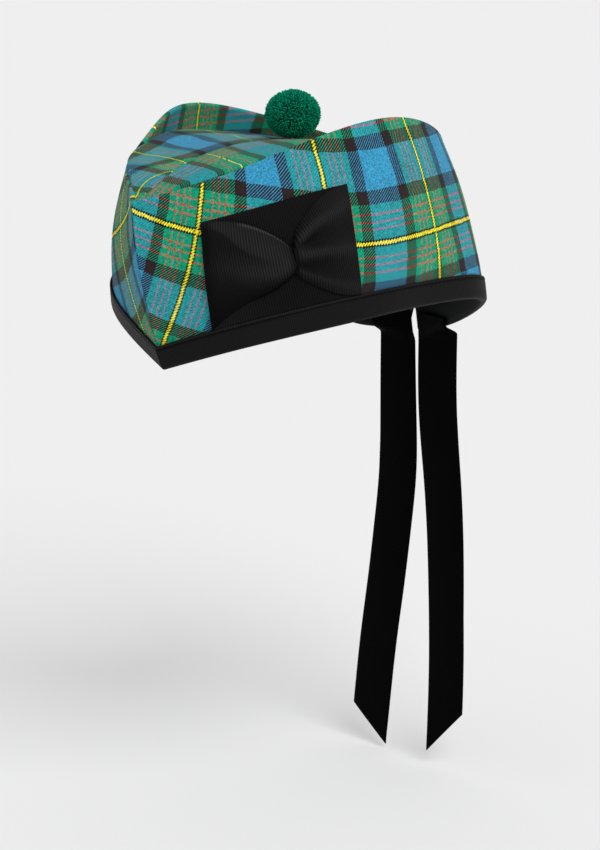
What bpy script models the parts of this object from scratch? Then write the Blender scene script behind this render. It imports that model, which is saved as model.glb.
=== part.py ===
"""A glengarry: a soft cloth cap, creased lengthwise, with a ribbon-bound band, a bow, a toorie and two tails.

Metres, +Z up. The front is at -Y and the wearer's left side, with the bow, at +X. The origin is the middle
of the head opening, level with the low front and back tips of its band. The two side panels are lofts
between the arched band below and the arched rim above, and every other piece is placed on that wall.
"""

import math

import bmesh
import bpy
import numpy as np

# Head opening, at the foot of the cloth walls
HEAD_LENGTH = 0.1866
HEAD_WIDTH = 0.1602
SIDE_ARCH = 0.0296
# Rim, the folded top edge of the walls
RIM_LENGTH = 0.2064
RIM_WIDTH = 0.1256
RIM_FORWARD = 0.0106
SIDE_HEIGHT = 0.1172
# Cloth
WALL_CLOTH = 0.002
CROWN_CLOTH = 0.0015
SIDE_BULGE = 0.0045
SEAM_BULGE = 0.004
CREASE_DEPTH = 0.002
# Ribbon: the binding folded over the band, and the tails
RIBBON_CLOTH = 0.001
BAND_FACE = 0.0125
TAIL_WIDTH = 0.0248
TAIL_LENGTH = 0.231
TAIL_CUT = 0.022
TAIL_TUCK = 0.011
TAIL_GAP = 0.0033
TAIL_SHIFT = 0.0055
TAIL_TWIST = 0.009
TAIL_SETBACK = 0.003
VENT_WIDTH = 0.0048
VENT_HEIGHT = 0.026
# Bow on its backing
BOW_THICKNESS = 0.0012
BOW_PUFF = 0.0065
# Toorie, the wool ball on the crown
TOORIE_DIAMETER = 0.0275
TOORIE_HEIGHT = 0.024
TOORIE_BEHIND_TIP = 0.1106
TOORIE_LOCKS = 90
LOCK_RELIEF = 0.0016
# Space between pieces that touch
CLEARANCE = 0.0003

# Half outline of the band, front to back: shares of half the width, of the length and of the side arch
BAND_ROWS = (
    # across, along, rise
    (0.000, -0.500, 0.07),
    (0.412, -0.441, 0.44),
    (0.940, -0.264, 0.90),
    (1.000, 0.000, 1.00),
    (0.958, 0.274, 0.89),
    (0.456, 0.420, 0.25),
    (0.000, 0.500, -0.06),
)
# Half outline of the rim, front to back: shares of half the width, of the length and of the side height
RIM_ROWS = (
    # across, along, height
    (0.000, -0.500, 0.696),
    (0.248, -0.433, 0.742),
    (0.580, -0.346, 0.821),
    (0.793, -0.195, 0.919),
    (1.000, 0.014, 1.000),
    (0.860, 0.246, 0.934),
    (0.473, 0.406, 0.827),
    (0.000, 0.500, 0.724),
)
# Crown's lengthwise line: shares of the rim's length and of the side height
CROWN_ROWS = (
    # along, height
    (-0.520, 0.650),
    (-0.440, 0.757),
    (-0.306, 0.864),
    (-0.180, 0.906),
    (-0.020, 0.913),
    (0.060, 0.902),
    (0.150, 0.882),
    (0.300, 0.824),
    (0.400, 0.770),
    (0.520, 0.690),
)
# Bow's corners on the left wall: shares of the half outline's run, and of the height from band to rim
BOW_CORNERS = {
    "front_top": (0.120, 0.745),
    "back_top": (0.375, 0.680),
    "front_foot": (0.105, 0.0),
    "back_foot": (0.350, 0.0),
}
# A wing of the bow, from the pinch outwards: shares of its length, of its half height and of its puff
WING_ROWS = (
    # out, spread, puff
    (0.00, 0.10, 0.55),
    (0.15, 0.34, 0.85),
    (0.35, 0.62, 1.00),
    (0.60, 0.86, 0.70),
    (0.80, 0.96, 0.35),
    (1.00, 1.00, 0.05),
)

# Sway of the tails away from the middle as they fall: shares of their length
SWAY_ROWS = (
    # fall, left tail, right tail
    (0.00, 0.000, 0.000),
    (0.20, 0.003, -0.008),
    (0.32, 0.015, -0.004),
    (0.46, 0.027, 0.010),
    (0.61, 0.031, 0.030),
    (0.75, 0.031, 0.052),
    (1.00, 0.029, 0.080),
)

# Mesh steps
WALL_COLUMNS = 32
WALL_LEVELS = 10
FOLD_STEPS = 4
SEAM_OVERRUN = 0.02
FINE = 1e-4


def spline(rows, places):
    """Natural cubic spline through the rows of a table whose first column is the place along it.

    Beyond both ends it goes on straight, along its end slope.
    """
    rows = np.array(rows, dtype=float)
    knots, values = rows[:, 0], rows[:, 1:]
    steps = np.diff(knots)
    slopes = np.diff(values, axis=0) / steps[:, None]
    count = len(knots)
    system = np.eye(count)
    right_side = np.zeros_like(values)
    for row in range(1, count - 1):
        system[row, row - 1:row + 2] = steps[row - 1], 2 * (steps[row - 1] + steps[row]), steps[row]
        right_side[row] = 6 * (slopes[row] - slopes[row - 1])
    bends = np.linalg.solve(system, right_side)
    places = np.asarray(places, dtype=float)
    inside = np.clip(places, knots[0], knots[-1])
    cell = np.clip(np.searchsorted(knots, inside) - 1, 0, count - 2)
    step = steps[cell][..., None]
    ahead = (inside - knots[cell])[..., None]
    left = knots[cell + 1][..., None] - inside[..., None]
    result = (bends[cell] * left ** 3 + bends[cell + 1] * ahead ** 3) / (6 * step)
    result += (values[cell] / step - bends[cell] * step / 6) * left
    result += (values[cell + 1] / step - bends[cell + 1] * step / 6) * ahead
    slope = (bends[cell + 1] * ahead ** 2 - bends[cell] * left ** 2) / (2 * step)
    slope += (values[cell + 1] - values[cell]) / step - (bends[cell + 1] - bends[cell]) * step / 6
    return result + slope * (places - inside)[..., None]


def outline(rows, size, shift=0.0):
    """Half outline as rows of run share, x, y and z, its run measured in plan."""
    points = np.array(rows) * np.array(size) + np.array([0.0, shift, 0.0])
    run = np.concatenate([[0.0], np.cumsum(np.hypot(*np.diff(points[:, :2], axis=0).T))])
    return np.column_stack([run / run[-1], points])


BAND_OUTLINE = outline(BAND_ROWS, (HEAD_WIDTH / 2, HEAD_LENGTH, SIDE_ARCH))
RIM_OUTLINE = outline(RIM_ROWS, (RIM_WIDTH / 2, RIM_LENGTH, SIDE_HEIGHT), -RIM_FORWARD)


def wall_face(run, level):
    """Outer face of a side panel: straight from band (level 0) to rim (level 1), plus a bulge outwards."""
    foot = spline(BAND_OUTLINE, run)
    top = spline(RIM_OUTLINE, run)
    middle = np.sin(math.pi * np.clip(run, 0.0, 1.0))
    level = np.asarray(level, dtype=float)[..., None]
    points = foot * (1 - level) + top * level
    outward = points[..., :2] / np.linalg.norm(points[..., :2], axis=-1, keepdims=True)
    bulge = SEAM_BULGE + (SIDE_BULGE - SEAM_BULGE) * middle[..., None]
    points[..., :2] += 4 * level * (1 - level) * bulge * outward
    return points


def wall(run, level, inset=0.0, side=1):
    """Points set in from the wall's outer face by inset, along the face's own normal."""
    run, level, inset = np.broadcast_arrays(*(np.asarray(v, dtype=float) for v in (run, level, inset)))
    points = wall_face(run, level)
    along = wall_face(run + FINE, level) - wall_face(run - FINE, level)
    upward = wall_face(run, level + FINE) - wall_face(run, level - FINE)
    normal = np.cross(along, upward)
    normal /= np.linalg.norm(normal, axis=-1, keepdims=True)
    points -= normal * inset[..., None]
    return points * np.array([side, 1.0, 1.0])


def wall_length(run):
    """Height of the wall's face from band to rim, measured along it."""
    return np.linalg.norm(wall_face(run, np.ones_like(run)) - wall_face(run, np.zeros_like(run)), axis=-1)


def crown_height(along, across):
    """Top of the crown: its lengthwise line, dipping to the crease in the middle."""
    dip = CREASE_DEPTH * (1 - np.clip(np.abs(across) / (RIM_WIDTH / 2), 0.0, 1.0))
    return spline(CROWN_ROWS, (along + RIM_FORWARD) / RIM_LENGTH)[..., 0] * SIDE_HEIGHT - dip


def material(name, colour, roughness):
    made = bpy.data.materials.new(name)
    made.use_nodes = True
    shader = made.node_tree.nodes["Principled BSDF"]
    shader.inputs["Base Color"].default_value = (*colour, 1.0)
    shader.inputs["Roughness"].default_value = roughness
    shader.inputs["Metallic"].default_value = 0.0
    return made


def object_from(name, build, collection, look=None):
    """Named object from a bmesh, shaded smooth with sharp folds kept."""
    mesh = bpy.data.meshes.new(name)
    build.to_mesh(mesh)
    build.free()
    mesh.shade_smooth()
    mesh.set_sharp_from_angle(angle=math.radians(40))
    made = bpy.data.objects.new(name, mesh)
    collection.objects.link(made)
    if look is None:
        made.hide_render = True
        made.display_type = "WIRE"
    else:
        mesh.materials.append(look)
    return made


def sheet(points, flip=False):
    """Open surface through a grid of points; coincident points at a tip become one."""
    build = bmesh.new()
    rows, columns = points.shape[:2]
    grid = [[build.verts.new(point) for point in row] for row in points.tolist()]
    for i in range(rows - 1):
        for j in range(columns - 1):
            corners = [grid[i][j], grid[i + 1][j], grid[i + 1][j + 1], grid[i][j + 1]]
            build.faces.new(corners[::-1] if flip else corners)
    bmesh.ops.remove_doubles(build, verts=build.verts, dist=1e-6)
    return build


def thicken(made, thickness, offset=-1.0):
    """Solidify: offset -1 grows inwards, 1 outwards and 0 both ways."""
    modifier = made.modifiers.new("cloth", "SOLIDIFY")
    modifier.thickness = thickness
    modifier.offset = offset
    modifier.use_even_offset = True


def trim(made, cutter, operation="DIFFERENCE"):
    modifier = made.modifiers.new(operation.lower(), "BOOLEAN")
    modifier.operation = operation
    modifier.object = cutter
    modifier.solver = "EXACT"


def seam_cutter(side, cutters):
    """Block that keeps a panel on its own side of the middle seam, with half the clearance."""
    build = bmesh.new()
    bmesh.ops.create_cube(build, size=1.0)
    reach = max(HEAD_WIDTH, RIM_LENGTH) + SIDE_HEIGHT
    bmesh.ops.scale(build, vec=(reach, 2 * reach, 4 * reach), verts=build.verts)
    bmesh.ops.translate(build, vec=(side * (CLEARANCE / 2 - reach / 2), 0, 0), verts=build.verts)
    return object_from(f"seam_cutter_{side}", build, cutters)


def vent_cutter(cutters):
    """Wedge that opens the back seam from the band up to the vent's top."""
    half = VENT_WIDTH / 2
    drop = SIDE_ARCH
    outward = HEAD_LENGTH / 2
    outline_points = ((-half, -drop), (half, -drop), (half, 0.0), (half / 4, VENT_HEIGHT), (-half / 4, VENT_HEIGHT),
                      (-half, 0.0))
    build = bmesh.new()
    near = [build.verts.new((x, outward / 2, z)) for x, z in outline_points]
    far = [build.verts.new((x, outward * 1.5, z)) for x, z in outline_points]
    build.faces.new(near)
    build.faces.new(far[::-1])
    count = len(near)
    for i in range(count):
        build.faces.new([near[i], far[i], far[(i + 1) % count], near[(i + 1) % count]])
    bmesh.ops.recalc_face_normals(build, faces=build.faces)
    return object_from("vent_cutter", build, cutters)


def fold_radius():
    """Radius of the ribbon's middle line where it folds under the cloth's edge."""
    return WALL_CLOTH / 2 + CLEARANCE + RIBBON_CLOTH / 2


def hem_level(run):
    """Level of the cloth's lower edge, which stands in the binding's fold."""
    return (fold_radius() + RIBBON_CLOTH / 2) / wall_length(run)


def past_seams(columns):
    """Places along the half outline, with one more past the seam at each end."""
    return np.concatenate([[-SEAM_OVERRUN], np.linspace(0.0, 1.0, columns + 1), [1 + SEAM_OVERRUN]])


def side_panel(name, side, collection, look, cutters):
    """One side of the cap: wall cloth from the hem in the binding up to the rim."""
    run = past_seams(WALL_COLUMNS)[:, None]
    rise = np.linspace(0.0, 1.0, WALL_LEVELS + 1)[None, :]
    foot = hem_level(run)
    level = foot + (1 - foot) * rise
    made = object_from(name, sheet(wall(run, level, side=side), side < 0), collection, look)
    thicken(made, WALL_CLOTH)
    trim(made, cutters["seam"][side])
    trim(made, cutters["vent"])
    return made


def binding(name, side, collection, look, cutters):
    """Ribbon folded under the cloth's edge, with a leg on each face of the wall."""
    radius = fold_radius()
    centre = radius + RIBBON_CLOTH / 2
    turns = np.linspace(0.0, math.pi, FOLD_STEPS + 1)
    legs = np.array([BAND_FACE, (BAND_FACE + centre) / 2])
    up = np.concatenate([legs, centre - radius * np.sin(turns), legs[::-1]])
    across = np.concatenate([np.full(2, -radius), -radius * np.cos(turns), np.full(2, radius)])
    run = past_seams(WALL_COLUMNS)[:, None]
    points = wall(run, up[None, :] / wall_length(run), WALL_CLOTH / 2 + across[None, :], side)
    made = object_from(name, sheet(points, side > 0), collection, look)
    thicken(made, RIBBON_CLOTH, offset=0.0)
    trim(made, cutters["seam"][side])
    trim(made, cutters["vent"])
    return made


def wall_cutter(side, cutters):
    """A side wall grown thicker: a clearance more inwards and well outwards, to trim the crown to the panel."""
    run = past_seams(WALL_COLUMNS)[:, None]
    level = np.linspace(0.3, 1.06, WALL_LEVELS)[None, :]
    made = object_from(f"wall_cutter_{side}", sheet(wall(run, level, WALL_CLOTH + CLEARANCE, side), side < 0), cutters)
    thicken(made, 5 * WALL_CLOTH, offset=1.0)
    return made


def crown_edge(run):
    """Line in the middle of the left wall's cloth, at the crown's height."""
    foot, top = wall_face(run, np.zeros_like(run)), wall_face(run, np.ones_like(run))
    level = np.full_like(run, 0.9)
    for _ in range(4):
        points = wall(run, level, WALL_CLOTH / 2)
        height = crown_height(points[:, 1], points[:, 0])
        level = (height - foot[:, 2]) / (top[:, 2] - foot[:, 2])
    points = wall(run, level, WALL_CLOTH / 2)
    points[:, 0] = np.maximum(points[:, 0], 0.0)
    return points


def crown(collection, look, cutters):
    """Leaf-shaped top, let in below the rim and creased from front to back."""
    edge = crown_edge(np.linspace(0.0, 1.0, WALL_COLUMNS + 1))
    share = np.linspace(-1.0, 1.0, 9)[None, :]
    across = edge[:, :1] * share
    along = np.broadcast_to(edge[:, 1:2], across.shape)
    points = np.stack([across, along, crown_height(along, across)], axis=-1)
    made = object_from("crown", sheet(points, True), collection, look)
    thicken(made, CROWN_CLOTH)
    for side in (1, -1):
        trim(made, cutters["wall"][side])
    return made


def bow_place(out, up):
    """Run and level of a place on the bow: out from -1 (front) to 1 (back), up from -1 (foot) to 1 (top)."""
    out, up = (out + 1) / 2, (up + 1) / 2
    corners = {name: np.array(value) for name, value in BOW_CORNERS.items()}
    front = corners["front_foot"] * (1 - up)[..., None] + corners["front_top"] * up[..., None]
    back = corners["back_foot"] * (1 - up)[..., None] + corners["back_top"] * up[..., None]
    place = front * (1 - out)[..., None] + back * out[..., None]
    foot = (BAND_FACE + CLEARANCE) / wall_length(place[..., 0])
    return place[..., 0], foot + (1 - foot) * place[..., 1]


def bow_backing(collection, look):
    """Flat ribbon square behind the bow, lying on the left wall just above the binding."""
    out, up = np.meshgrid(np.linspace(-1, 1, 9), np.linspace(-1, 1, 7), indexing="ij")
    run, level = bow_place(out, up)
    made = object_from("bow_backing", sheet(wall(run, level, -CLEARANCE)), collection, look)
    thicken(made, RIBBON_CLOTH, offset=1.0)
    return made


def bow(collection, look):
    """Ribbon pinched in the middle, its two wings puffed away from the backing."""
    out, up = np.meshgrid(np.linspace(-1, 1, 25), np.linspace(-1, 1, 9), indexing="ij")
    spread, puff = np.moveaxis(spline(WING_ROWS, np.abs(out)), -1, 0)
    run, level = bow_place(out, up * np.clip(spread, 0.0, 1.0))
    lift = BOW_PUFF * np.clip(puff, 0.0, 1.0) * (1 - up ** 2)
    seat = 2 * CLEARANCE + RIBBON_CLOTH
    made = object_from("bow", sheet(wall(run, level, -(seat + lift))), collection, look)
    thicken(made, BOW_THICKNESS, offset=1.0)
    return made


def lock_directions():
    """Directions spread evenly over a ball, along a spiral of golden-angle turns."""
    index = np.arange(TOORIE_LOCKS)
    height = 1 - (2 * index + 1) / TOORIE_LOCKS
    turn = index * math.pi * (3 - math.sqrt(5))
    ring = np.sqrt(1 - height ** 2)
    return np.column_stack([ring * np.cos(turn), ring * np.sin(turn), height])


def toorie(collection, look):
    """Wool ball, a little flattened: locks fused to a head, each lock a low rise around its own direction."""
    build = bmesh.new()
    bmesh.ops.create_icosphere(build, subdivisions=4, radius=1.0)
    points = np.array([vertex.co for vertex in build.verts])
    points /= np.linalg.norm(points, axis=1, keepdims=True)
    nearness = (points @ lock_directions().T).max(axis=1)
    width = math.acos(1 - 2 / TOORIE_LOCKS)
    relief = np.clip(np.arccos(np.clip(nearness, -1.0, 1.0)) / width, 0.0, 1.0) ** 2 * LOCK_RELIEF
    radius = TOORIE_DIAMETER / 2
    place = -RIM_FORWARD - RIM_LENGTH / 2 + TOORIE_BEHIND_TIP
    slope = math.atan(CREASE_DEPTH / (RIM_WIDTH / 2))
    reach = math.hypot(radius * math.sin(slope), TOORIE_HEIGHT / 2 * math.cos(slope))
    seat = float(crown_height(np.array(place), np.array(0.0)))
    centre = np.array([0.0, place, seat + (reach + CLEARANCE) / math.cos(slope)])
    squash = np.array([1.0, 1.0, TOORIE_HEIGHT / TOORIE_DIAMETER])
    for vertex, point in zip(build.verts, points * (radius - relief)[:, None] * squash + centre):
        vertex.co = point
    return object_from("toorie", build, collection, look)


def tail(name, side, collection, look):
    """Ribbon end: tucked inside the binding beside the vent, turned flat below it, hanging to a slanted end."""
    across = np.linspace(0.0, 1.0, 5)[None, :]
    down = np.linspace(0.0, 1.0, 49)[:, None]
    height = TAIL_TUCK - down * (TAIL_TUCK + TAIL_LENGTH - TAIL_CUT * across)
    x = side * (TAIL_GAP / 2 + TAIL_WIDTH * across) + TAIL_SHIFT
    run = np.linspace(0.7, 1.0, 61)
    lining = wall(run, 0.0, WALL_CLOTH / 2 + fold_radius() + RIBBON_CLOTH / 2 + CLEARANCE)[::-1]
    tucked = np.interp(np.abs(x), lining[:, 0], lining[:, 1])
    foot = np.interp(np.abs(x), lining[:, 0], lining[:, 2])
    flat = np.clip((foot - CLEARANCE - height) / TAIL_TWIST, 0.0, 1.0)
    flat = flat ** 2 * (3 - 2 * flat)
    fall = np.clip(-height / TAIL_LENGTH, 0.0, 1.0)
    y = tucked * (1 - flat) + tucked.max() * flat + TAIL_SETBACK * fall
    sway = spline(SWAY_ROWS, fall)[..., 0 if side > 0 else 1] * TAIL_LENGTH
    x = x + side * sway
    points = np.stack(np.broadcast_arrays(x, y, height), axis=-1)
    made = object_from(name, sheet(points, side > 0), collection, look)
    thicken(made, RIBBON_CLOTH)
    return made


def clear_scene():
    for item in list(bpy.data.objects):
        bpy.data.objects.remove(item, do_unlink=True)


def collection_named(name):
    made = bpy.data.collections.new(name)
    bpy.context.scene.collection.children.link(made)
    return made


def build_glengarry():
    clear_scene()
    cap = collection_named("glengarry")
    guides = collection_named("cutters")
    tartan = material("tartan_wool", (0.02, 0.30, 0.30), 0.9)
    ribbon = material("grosgrain_ribbon", (0.008, 0.008, 0.009), 0.6)
    wool = material("wool_pile", (0.0, 0.17, 0.08), 1.0)
    sides = {1: "left", -1: "right"}
    cutters = {
        "seam": {side: seam_cutter(side, guides) for side in sides},
        "wall": {side: wall_cutter(side, guides) for side in sides},
        "vent": vent_cutter(guides),
    }
    for side, label in sides.items():
        side_panel(f"side_panel_{label}", side, cap, tartan, cutters)
        binding(f"binding_{label}", side, cap, ribbon, cutters)
    crown(cap, tartan, cutters)
    bow_backing(cap, ribbon)
    bow(cap, ribbon)
    toorie(cap, wool)
    tail("tail_left", 1, cap, ribbon)
    tail("tail_right", -1, cap, ribbon)


build_glengarry()
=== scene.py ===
"""A glengarry in green and blue tartan wool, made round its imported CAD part.

Metres, +Z up. The front is at -Y and the wearer's left side, which carries the bow, at +X.
"""

import math

import bpy
import numpy as np
from mathutils import Matrix, Vector


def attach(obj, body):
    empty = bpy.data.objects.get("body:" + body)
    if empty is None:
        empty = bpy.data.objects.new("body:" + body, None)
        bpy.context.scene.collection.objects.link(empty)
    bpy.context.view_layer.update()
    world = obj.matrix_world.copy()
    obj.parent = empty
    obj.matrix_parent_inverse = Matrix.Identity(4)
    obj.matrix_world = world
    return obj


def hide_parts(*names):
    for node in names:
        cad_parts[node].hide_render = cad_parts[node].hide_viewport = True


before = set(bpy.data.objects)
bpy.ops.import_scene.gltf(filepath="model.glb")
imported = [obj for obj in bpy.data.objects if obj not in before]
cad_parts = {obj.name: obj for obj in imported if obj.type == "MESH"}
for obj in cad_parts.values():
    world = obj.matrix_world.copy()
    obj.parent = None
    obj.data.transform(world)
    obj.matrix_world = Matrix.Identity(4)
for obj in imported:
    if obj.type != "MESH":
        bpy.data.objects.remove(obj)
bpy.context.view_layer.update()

# Side panels: two pieces of tartan worsted wool, cut to stand between the arched band and the arched rim.
# Each is folded softly over at its rim, hemmed into the ribbon below, and the two are seamed together at
# the front and the back, where the seam is left open at the foot as a vent.

head_length, head_width, side_arch = 0.1866, 0.1602, 0.0296
rim_length, rim_width, rim_forward, side_height = 0.2064, 0.1256, 0.0106, 0.1172
wall_cloth = 0.002
side_bulge, seam_bulge = 0.0045, 0.004
seam_gap, seam_ridge = 0.0003, 0.0018
vent_height, vent_middle, vent_top = 0.026, 0.002, 0.0006  # the last two are half its width there
vent_foot = {1: 0.0064, -1: 0.0032}  # half its width at its foot, on the left and on the right
band_run, wall_rise = 0.2887, 0.086  # rounded: half way round the band, and up the wall along its face
fine = 1e-4  # step of run or level for a slope

# Half outlines, front to back: shares of half the width, of the length, and of the arch or side height
band_rows = ((0.0, -0.5, 0.07), (0.412, -0.441, 0.44), (0.94, -0.264, 0.9), (1.0, 0.0, 1.0),
             (0.958, 0.274, 0.89), (0.456, 0.42, 0.25), (0.0, 0.5, -0.06))
rim_rows = ((0.0, -0.5, 0.696), (0.248, -0.433, 0.742), (0.58, -0.346, 0.821), (0.793, -0.195, 0.919),
            (1.0, 0.014, 1.0), (0.86, 0.246, 0.934), (0.473, 0.406, 0.827), (0.0, 0.5, 0.724))

# Where the sett's stripes lie. Across: the run, then the sett count low on the side, half way up and at the
# rim. Up: the run, then the level of the yellow line and the share of the height that one sett takes.
sett_across_rows = ((0.0, -0.04, -0.33, -0.61), (0.1, 0.33, 0.08, -0.13), (0.2, 0.7, 0.48, 0.34),
                    (0.3, 1.08, 0.88, 0.82), (0.4, 1.42, 1.33, 1.28), (0.5, 1.82, 1.73, 1.77),
                    (0.6, 2.31, 2.32, 2.25), (0.8, 3.3, 3.25, 3.2), (1.0, 4.3, 4.2, 4.16))
sett_up_rows = ((0.0, 0.96, 0.95), (0.1, 0.755, 0.97), (0.2, 0.6, 0.9), (0.3, 0.465, 0.83), (0.4, 0.39, 0.77),
                (0.5, 0.385, 0.76), (0.6, 0.43, 0.75), (0.8, 0.56, 0.8), (1.0, 0.68, 0.85))

# Half the sett, from its yellow line to the middle of its blue square: place, linear colour, yarn strength
sett_rows = (
    (0.000, (0.860, 0.720, 0.014), 0.84),
    (0.020, (0.005, 0.005, 0.004), 0.84),
    (0.050, (0.001, 0.280, 0.150), 0.50),
    (0.180, (0.560, 0.065, 0.042), 0.50),
    (0.206, (0.001, 0.280, 0.150), 0.50),
    (0.276, (0.560, 0.065, 0.042), 0.50),
    (0.302, (0.001, 0.280, 0.150), 0.50),
    (0.386, (0.560, 0.065, 0.042), 0.50),
    (0.412, (0.001, 0.280, 0.150), 0.50),
    (0.532, (0.020, 0.011, 0.012), 0.64),
    (0.726, (0.034, 0.265, 0.455), 0.50),
)
# The twill's diagonal steps in one sett, across and up
twill_across, twill_up = 43.0, 47.0


def spline(rows, places):
    """Natural cubic spline through table rows whose first column is the place; straight beyond both ends."""
    rows = np.array(rows, dtype=float)
    knots, values = rows[:, 0], rows[:, 1:]
    steps = np.diff(knots)
    slopes = np.diff(values, axis=0) / steps[:, None]
    count = len(knots)
    system = np.eye(count)
    right_side = np.zeros_like(values)
    for row in range(1, count - 1):
        system[row, row - 1:row + 2] = steps[row - 1], 2 * (steps[row - 1] + steps[row]), steps[row]
        right_side[row] = 6 * (slopes[row] - slopes[row - 1])
    bends = np.linalg.solve(system, right_side)
    places = np.asarray(places, dtype=float)
    inside = np.clip(places, knots[0], knots[-1])
    cell = np.clip(np.searchsorted(knots, inside) - 1, 0, count - 2)
    step = steps[cell][..., None]
    ahead = (inside - knots[cell])[..., None]
    left = knots[cell + 1][..., None] - inside[..., None]
    result = (bends[cell] * left ** 3 + bends[cell + 1] * ahead ** 3) / (6 * step)
    result += (values[cell] / step - bends[cell] * step / 6) * left
    result += (values[cell + 1] / step - bends[cell + 1] * step / 6) * ahead
    slope = (bends[cell + 1] * ahead ** 2 - bends[cell] * left ** 2) / (2 * step)
    slope += (values[cell + 1] - values[cell]) / step - (bends[cell + 1] - bends[cell]) * step / 6
    return result + slope * (places - inside)[..., None]


def outline(rows, size, shift=0.0):
    """Half outline as rows of run share, x, y and z, its run measured in plan."""
    points = np.array(rows) * np.array(size) + np.array([0.0, shift, 0.0])
    run = np.concatenate([[0.0], np.cumsum(np.hypot(*np.diff(points[:, :2], axis=0).T))])
    return np.column_stack([run / run[-1], points])


band_outline = outline(band_rows, (head_width / 2, head_length, side_arch))
rim_outline = outline(rim_rows, (rim_width / 2, rim_length, side_height), -rim_forward)


def wall_face(run, level):
    """Outer face: straight from the band's outline (level 0) to the rim's (1), but bulging on the way.

    It lies further out by 4·level·(1 - level) times a bulge, which goes with the sine of the run from
    seam_bulge at the seams to side_bulge half way.
    """
    foot = spline(band_outline, run)
    top = spline(rim_outline, run)
    middle = np.sin(math.pi * np.clip(run, 0.0, 1.0))
    level = np.asarray(level, dtype=float)[..., None]
    points = foot * (1 - level) + top * level
    outward = points[..., :2] / np.linalg.norm(points[..., :2], axis=-1, keepdims=True)
    bulge = seam_bulge + (side_bulge - seam_bulge) * middle[..., None]
    points[..., :2] += 4 * level * (1 - level) * bulge * outward
    return points


def wall(run, level, inset=0.0, side=1):
    """The face moved inwards by inset along its normal, the cross product of its two directions."""
    run, level, inset = np.broadcast_arrays(*(np.asarray(v, dtype=float) for v in (run, level, inset)))
    points = wall_face(run, level)
    along = wall_face(run + fine, level) - wall_face(run - fine, level)
    upward = wall_face(run, level + fine) - wall_face(run, level - fine)
    normal = np.cross(along, upward)
    normal /= np.linalg.norm(normal, axis=-1, keepdims=True)
    points -= normal * inset[..., None]
    return points * np.array([side, 1.0, 1.0])


def wall_length(run):
    """Straight distance from band to rim along the face."""
    return np.linalg.norm(wall_face(run, np.ones_like(run)) - wall_face(run, np.zeros_like(run)), axis=-1)


def half_gap(height, side):
    """Half the space at the back seam, by height: the vent gapes at its foot, and the seam closes above."""
    heights = [0.004, 0.0125, vent_height, vent_height + 0.002]
    return np.interp(height, heights, [vent_foot[side], vent_middle, vent_top, seam_gap / 2])


def between_seams(share, level, inset, side):
    """Run at a share of the way from the front seam to the back one, each found by five Newton steps on x."""
    ends = []
    for start, gap in ((0.0, lambda height: seam_gap / 2), (1.0, lambda height: half_gap(height, side))):
        run = np.full(np.broadcast(level, inset).shape, start)
        for _ in range(5):
            here = wall(run, level, inset)
            ahead = wall(run + fine, level, inset)
            run = run - (here[..., 0] - gap(here[..., 2])) / ((ahead - here)[..., 0] / fine)
        ends.append(run)
    return ends[0] + share * (ends[1] - ends[0])


def sett_place(run, level, side=1):
    """Sett counts (across, up): across is a parabola in level through the three columns of its table."""
    low, middle, high = np.moveaxis(spline(sett_across_rows, run), -1, 0)
    a, b, c = 0.15, 0.5, 1.0
    across = low * (level - b) * (level - c) / ((a - b) * (a - c))
    across = across + middle * (level - a) * (level - c) / ((b - a) * (b - c))
    across = across + high * (level - a) * (level - b) / ((c - a) * (c - b))
    line, pitch = np.moveaxis(spline(sett_up_rows, run), -1, 0)
    up = (level - line) / pitch
    if side < 0:
        across = across - 0.17 + 0.64 * np.minimum(run, 0.53) - 0.6 * np.maximum(run - 0.53, 0.0)
        up = up + 0.14 * np.clip(run / 0.3, 0.0, 1.0) - 0.13 * np.exp(-(run / 0.13) ** 2)
    return np.stack([across, up], axis=-1)


def surface(name, points, marks, look, around=False):
    """Mesh of quads through a grid of points, with marks as its UVs.

    With around its last column is its first one again, and its first and last rows are filled in.
    """
    rows, columns = points.shape[:2]
    kept = columns - 1 if around else columns
    index = np.arange(rows)[:, None] * kept + np.arange(columns)[None, :] % kept
    corner = np.arange(rows * columns).reshape(rows, columns)
    faces, corners = (
        np.stack([grid[:-1, :-1], grid[1:, :-1], grid[1:, 1:], grid[:-1, 1:]], axis=-1).reshape(-1, 4)
        for grid in (index, corner)
    )
    ends = [index[0, :kept].tolist(), index[-1, :kept][::-1].tolist()] if around else []
    end_corners = [corner[0, :kept], corner[-1, :kept][::-1]] if around else []
    mesh = bpy.data.meshes.new(name)
    mesh.from_pydata(points[:, :kept].reshape(-1, 3).tolist(), [], faces.tolist() + ends)
    layer = mesh.uv_layers.new(name="thread")
    places = np.concatenate([corners.ravel(), *end_corners])
    layer.data.foreach_set("uv", marks.reshape(-1, 2)[places].astype(np.float32).ravel())
    mesh.shade_smooth()
    mesh.materials.append(look)
    made = bpy.data.objects.new(name, mesh)
    bpy.context.scene.collection.objects.link(made)
    return made


def add(tree, kind, *inputs, out=0, **settings):
    """One shader node with its sockets filled in order by values or by other nodes' outputs."""
    node = tree.nodes.new("ShaderNode" + kind)
    for name, value in settings.items():
        setattr(node, name, value)
    for socket, value in zip(node.inputs, inputs):
        if isinstance(value, bpy.types.NodeSocket):
            tree.links.new(value, socket)
        elif value is not None:
            socket.default_value = value
    return node.outputs[out]


def calc(tree, operation, *inputs):
    return add(tree, "Math", *inputs, operation=operation)


def mixed(tree, factor, first, second, blend="MIX"):
    node = tree.nodes.new("ShaderNodeMix")
    node.data_type = "RGBA"
    node.blend_type = blend
    for socket, value in zip((node.inputs[0], node.inputs[6], node.inputs[7]), (factor, first, second)):
        if isinstance(value, bpy.types.NodeSocket):
            tree.links.new(value, socket)
        else:
            socket.default_value = value
    return node.outputs[2]


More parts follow.
